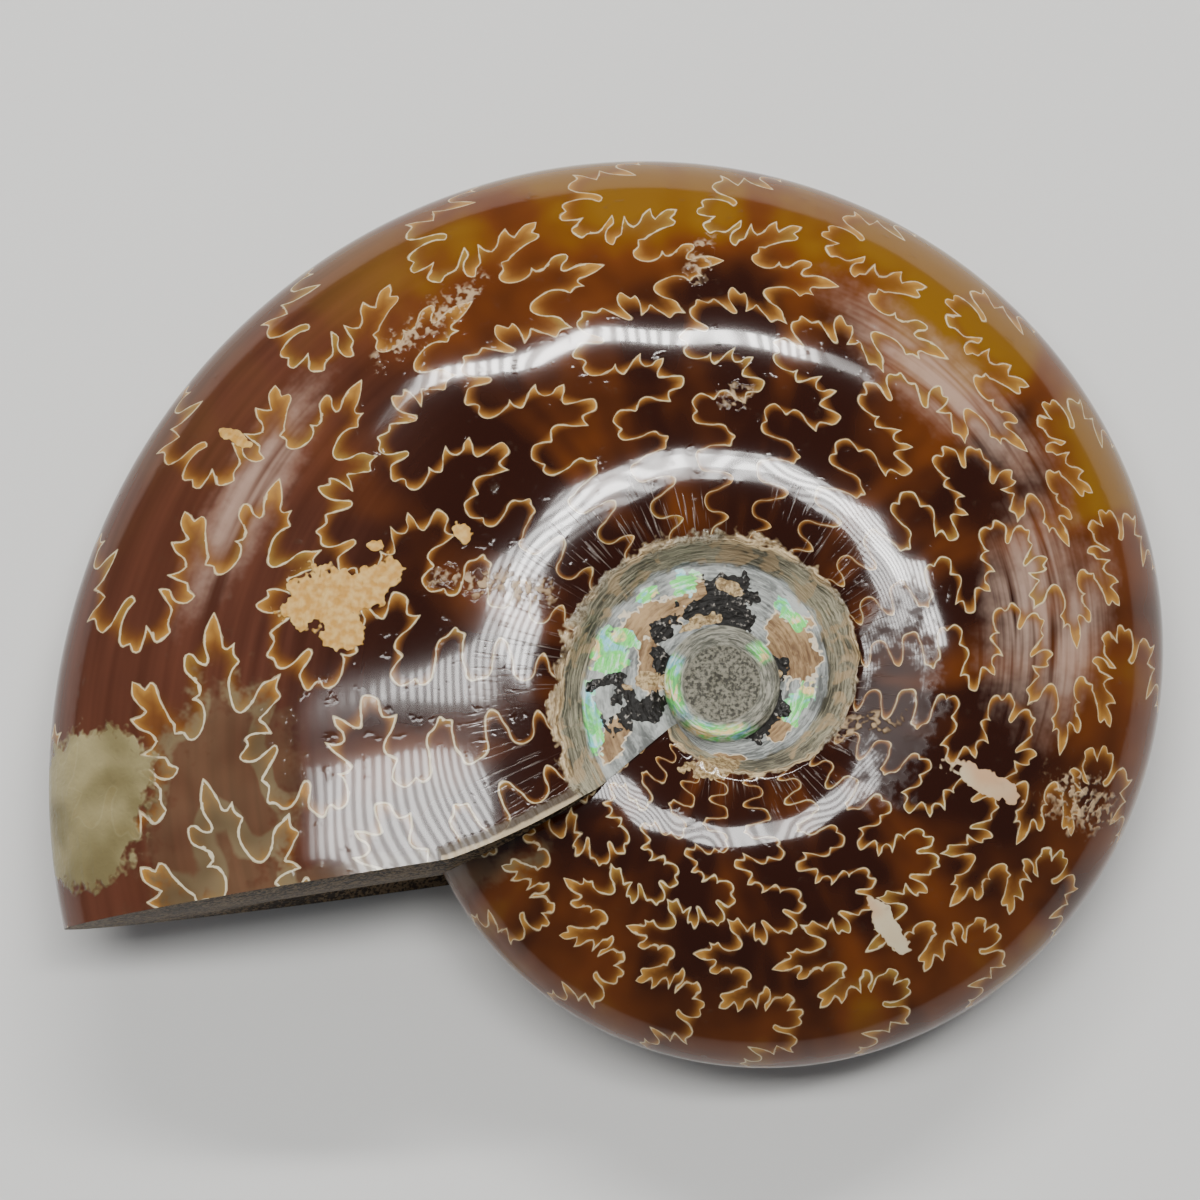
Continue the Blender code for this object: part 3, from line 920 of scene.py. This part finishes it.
# %%
# The lip, the umbilical edge and the wall
LIP_DARK_BAND, LIP_SHELL = colour(0.060, 0.042, 0.024), colour(0.42, 0.33, 0.20)
DARK_LAYER, BEIGE_LAYER = colour(0.14, 0.090, 0.040), colour(0.58, 0.44, 0.25)
DARK_DIRT, GREY_DIRT = colour(0.045, 0.038, 0.026), colour(0.26, 0.24, 0.18)
WALL_SHADE, WALL_LIGHT, WALL_TAN = (colour(0.055, 0.050, 0.036), colour(0.33, 0.30, 0.21),
                                    colour(0.36, 0.26, 0.145))
STRIP_SHADE, STRIP_LIGHT = colour(0.085, 0.090, 0.085), colour(0.38, 0.40, 0.38)
uneven = below + 0.60 * ragged
layers = noise(joined(angle * 3.0, below * 13.0, ragged * 3), 1.0, 2.0, 0.65)
bright = layers.ramp(0.34, 0.66)
crumbly = (0.5 * layers + 0.5 * cloud).ramp(0.38, 0.62)
bare = uneven.ramp(-0.10, 0.0)
lip_edge = (mark("lip") + 0.5 * ragged).ramp(0.05, 0.35)


def edged(stone):
    # a beige line of shell right at the cut, a dark band behind it
    shell = (mark("lip") + 0.3 * ragged).ramp(0.62, 0.80).mix(LIP_DARK_BAND, LIP_SHELL)
    stone = (0.9 * lip_edge).mix(stone, shell)
    rim = bright.mix(DARK_LAYER, BEIGE_LAYER)
    rim = (0.8 * cloud.ramp(0.46, 0.58)).mix(rim, speck.mix(DARK_DIRT, GREY_DIRT))
    stone = uneven.ramp(-0.14, -0.04).mix(stone, rim)
    wall = crumbly.mix(WALL_SHADE, WALL_LIGHT)
    wall = (0.7 * shimmer.ramp(0.52, 0.60)).mix(wall, WALL_TAN)
    stone = uneven.ramp(0.05, 0.17).mix(stone, wall)
    return uneven.ramp(0.86, 1.0).mix(stone, crumbly.mix(STRIP_SHADE, STRIP_LIGHT))


base = edged(body)
print("with edge and wall: %d nodes" % len(nodes))

# %% [markdown]
# The umbilicus isn't polished through. The pearly shell of the inner whorls lies bare there,
# with flesh-coloured shell over it, near-black painted shade with painted glints in the hollow
# round the first whorls, and crumbs and a plug of grey-olive matrix in the middle.

# %%
# The bare umbilicus
SEA_BLUE, LEAF_GREEN, PEARL_GOLD = (colour(0.18, 0.52, 0.62), colour(0.11, 0.64, 0.10),
                                    colour(0.82, 0.56, 0.22))
PEARL_WHITE, PEARL_SHADE = colour(0.66, 0.80, 0.74), colour(0.10, 0.34, 0.14)
FLESH_EDGE, DARK_FLESH, LIGHT_FLESH = (colour(0.58, 0.50, 0.37), colour(0.11, 0.058, 0.026),
                                       colour(0.38, 0.25, 0.125))
HOLLOW_SHADE_BLACK, PAINTED_GLINT = colour(0.008, 0.007, 0.006), colour(0.30, 0.28, 0.25)
DARK_CRUMB, LIGHT_CRUMB = colour(0.17, 0.11, 0.050), colour(0.46, 0.34, 0.18)
GREY_RING, PALE_RING = colour(0.085, 0.085, 0.068), colour(0.29, 0.28, 0.225)
DARK_MATRIX, LIGHT_MATRIX = colour(0.035, 0.033, 0.024), colour(0.18, 0.17, 0.13)
inside = below.ramp(0.85, 1.0)
pearly = patch("pearly", 1.3, 0.05) * inside
painted_hollow_shade = patch("painted_hollow_shade", 1.8, 0.04) * below.ramp(0.94, 1.02)


def pearl():
    """Shell that shimmers from blue over green to gold, in whiter and darker layers."""
    shell = shimmer.ramp(0.38, 0.48).mix(SEA_BLUE, LEAF_GREEN)
    shell = shimmer.ramp(0.56, 0.66).mix(shell, PEARL_GOLD)
    shell = (0.7 * layers.ramp(0.48, 0.66)).mix(shell, PEARL_WHITE)
    return (0.7 * layers.ramp(0.46, 0.34)).mix(shell, PEARL_SHADE)


def filled_umbilicus(stone):
    shell = pearl()
    flesh = mark("tan") + 2.2 * ragged
    flesh_tone = (0.6 * cloud + 0.4 * layers).ramp(0.38, 0.62).mix(DARK_FLESH, LIGHT_FLESH)
    stone = (flesh.ramp(-0.16, -0.08) * inside).mix(stone, FLESH_EDGE)
    stone = (flesh.ramp(-0.03, 0.05) * inside).mix(stone, flesh_tone)
    stone = (0.95 * pearly).mix(stone, shell)
    painted_glints = (0.5 * grain + 0.5 * fine).ramp(0.56, 0.72)
    # painted shade: near-black patches in the hollow round the first whorls, with painted glints
    stone = painted_hollow_shade.mix(stone, painted_glints.mix(HOLLOW_SHADE_BLACK, PAINTED_GLINT))
    stone = patch("crumb", 1.6, 0.05).mix(stone, speck.mix(DARK_CRUMB, LIGHT_CRUMB))
    disc = below.ramp(2.0, 2.05)
    stone = disc.mix(stone, bright.mix(GREY_RING, PALE_RING))
    arc = disc * patch("sheen", 0.5, 0.5) * below.ramp(2.62, 2.42)
    stone = (0.85 * arc).mix(stone, shell)
    return below.ramp(2.60, 2.72).mix(stone, speck.mix(DARK_MATRIX, LIGHT_MATRIX))


base = filled_umbilicus(base)
print("with umbilicus: %d nodes" % len(nodes))

# %% [markdown]
# The saw left a plain brown granular face, kept dark as painted shade because it faces away from
# the lamps. Everything bare is dull and a little rough to the touch, while the polished stone
# carries a thin gloss like a coat of wax. The gloss is broken where the wheel scuffed the stone
# right of the umbilicus.

# %%
# The sawn face, gloss and roughness
SAWN_DARK_AND_PAINTED_SHADE, SAWN_LIGHT_AND_PAINTED_SHADE = colour(0.030, 0.018, 0.010), colour(0.17, 0.115, 0.060)
REFRACTION, STONE_SHINE, COAT_ROUGHNESS = 1.45, 0.25, 0.03
RELIEF_DEPTH, RELIEF_STRENGTH = 0.0007, 0.7
POLISHED, DULL_ROUGHER, PEARL_SMOOTHER, WORN_ROUGHER = 0.08, 0.50, 0.30, 0.38
COAT = 0.42
# painted shade: the brown of the sawn face is darkened because the face lies in shadow
base = sawn.mix(base, (0.6 * cloud + 0.4 * speck).ramp(0.36, 0.66).mix(SAWN_DARK_AND_PAINTED_SHADE, SAWN_LIGHT_AND_PAINTED_SHADE))
dull = bare.at_least(sawn).at_least(ochre).at_least(0.8 * broken).at_least(0.5 * khaki)
dull = dull.at_least(0.7 * lip_edge).at_least(0.4 * scratches)
worn = patch("worn", 1.2, 0.4) * (1 - bare)
relief = dull * (0.4 * grain + 0.6 * layers) + 0.5 * painted_hollow_shade * grain
bump = Value.node("Bump", None, "Normal", Height=relief, Distance=RELIEF_DEPTH,
                  Strength=RELIEF_STRENGTH)
rough = POLISHED + DULL_ROUGHER * dull - PEARL_SMOOTHER * pearly + WORN_ROUGHER * worn
coat = COAT * (1 - dull) * (1 - worn)
shader.inputs["IOR"].default_value = REFRACTION
shader.inputs["Specular IOR Level"].default_value = STONE_SHINE
shader.inputs["Coat IOR"].default_value = REFRACTION
shader.inputs["Coat Roughness"].default_value = COAT_ROUGHNESS
for name, value in (("Base Color", base), ("Roughness", rough), ("Coat Weight", coat),
                    ("Normal", bump)):
    material.node_tree.links.new(value.socket, shader.inputs[name])
ammonite.data.materials.append(material)
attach(ammonite, "root")
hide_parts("ammonite")
print("finish: %d nodes" % len(nodes))

# %% [markdown]
# The floor is plain and pale. Three soft lamps with dark slats across them light the fossil: a
# long one low behind it and a short one nearly overhead, whose reflections run along the whorl
# as two bright bands, and a large one on the left for the broad reflection by the aperture.

# %%
# Floor, light and camera
FLOOR_SIZE, FLOOR_GREY, FLOOR_ROUGHNESS = 6.0, colour(0.62, 0.62, 0.61), 0.9
SKY, SKY_STRENGTH = colour(0.75, 0.78, 0.82), 0.25
# how bright a lamp is on its slats, how much more between them, how much of its length fades
SLAT_LIGHT, OPEN_LIGHT, END_FADE = 0.15, 1.1, 0.14
SENSOR, LENS, CAMERA_DISTANCE = 36.0, 133.0, 0.6
CAMERA_TARGET, CAMERA_TILT = Vector((-0.0013, 0.0011, 0.0198)), math.radians(7.0)
bpy.ops.mesh.primitive_plane_add(size=FLOOR_SIZE)
floor = bpy.context.object
floor.name = "studio_floor"
pale = bpy.data.materials.new("pale floor")
pale.use_nodes = True
pale.node_tree.nodes["Principled BSDF"].inputs["Base Color"].default_value = FLOOR_GREY
pale.node_tree.nodes["Principled BSDF"].inputs["Roughness"].default_value = FLOOR_ROUGHNESS
floor.data.materials.append(pale)

world = bpy.data.worlds.new("studio")
bpy.context.scene.world = world
world.use_nodes = True
world.node_tree.nodes["Background"].inputs["Color"].default_value = SKY
world.node_tree.nodes["Background"].inputs["Strength"].default_value = SKY_STRENGTH


def lamp(name, direction, distance, width, height, power, tint, louvres, roll):
    """A flat lamp that looks at the origin; louvres are dark slats across its length."""
    data = bpy.data.lights.new(name, 'AREA')
    data.shape, data.size, data.size_y = 'RECTANGLE', width, height
    data.energy, data.color = power, tint
    data.use_nodes = True
    Value.tree = data.node_tree
    run = Value.node("SeparateXYZ", None, "X", Vector=Value.node("NewGeometry", None, "Parametric"))
    slats = Value.math("SINE", run * (TURN * louvres)).ramp(-0.6, 0.5)
    strength = SLAT_LIGHT + OPEN_LIGHT * slats
    strength = strength * run.ramp(0.0, END_FADE) * run.ramp(1.0, 1.0 - END_FADE)
    emission = data.node_tree.nodes["Emission"]
    data.node_tree.links.new(strength.socket, emission.inputs["Strength"])
    made = bpy.data.objects.new(name, data)
    back = Vector(direction).normalized()
    made.location = back * distance
    right = Vector((0, 1, 0)).cross(back).normalized()
    facing = Matrix((right, back.cross(right), back)).transposed()
    made.rotation_euler = (facing @ Matrix.Rotation(math.radians(roll), 3, 'Z')).to_euler()
    bpy.context.collection.objects.link(made)


lamp("back lamp", direction=(0.04, 0.80, 1.0), distance=1.15, width=0.90, height=0.060,
     power=17.0, tint=(1.0, 0.98, 0.95), louvres=26, roll=0)
lamp("top lamp", direction=(0.24, 0.135, 1.0), distance=1.25, width=0.32, height=0.090,
     power=5.5, tint=(1.0, 0.99, 0.97), louvres=10, roll=9)
lamp("left lamp", direction=(-0.080, 0.082, 1.0), distance=1.25, width=0.90, height=0.225,
     power=21.5, tint=(1.0, 0.99, 0.97), louvres=25, roll=5)

camera = bpy.data.objects.new("camera", bpy.data.cameras.new("camera"))
camera.data.sensor_width, camera.data.lens = SENSOR, LENS
towards = Vector((0, -math.sin(CAMERA_TILT), math.cos(CAMERA_TILT)))
camera.location = CAMERA_TARGET + CAMERA_DISTANCE * towards
camera.rotation_euler = (CAMERA_TILT, 0, 0)
bpy.context.collection.objects.link(camera)
bpy.context.scene.camera = camera
print("three lamps and a camera with a %.0f mm lens" % LENS)
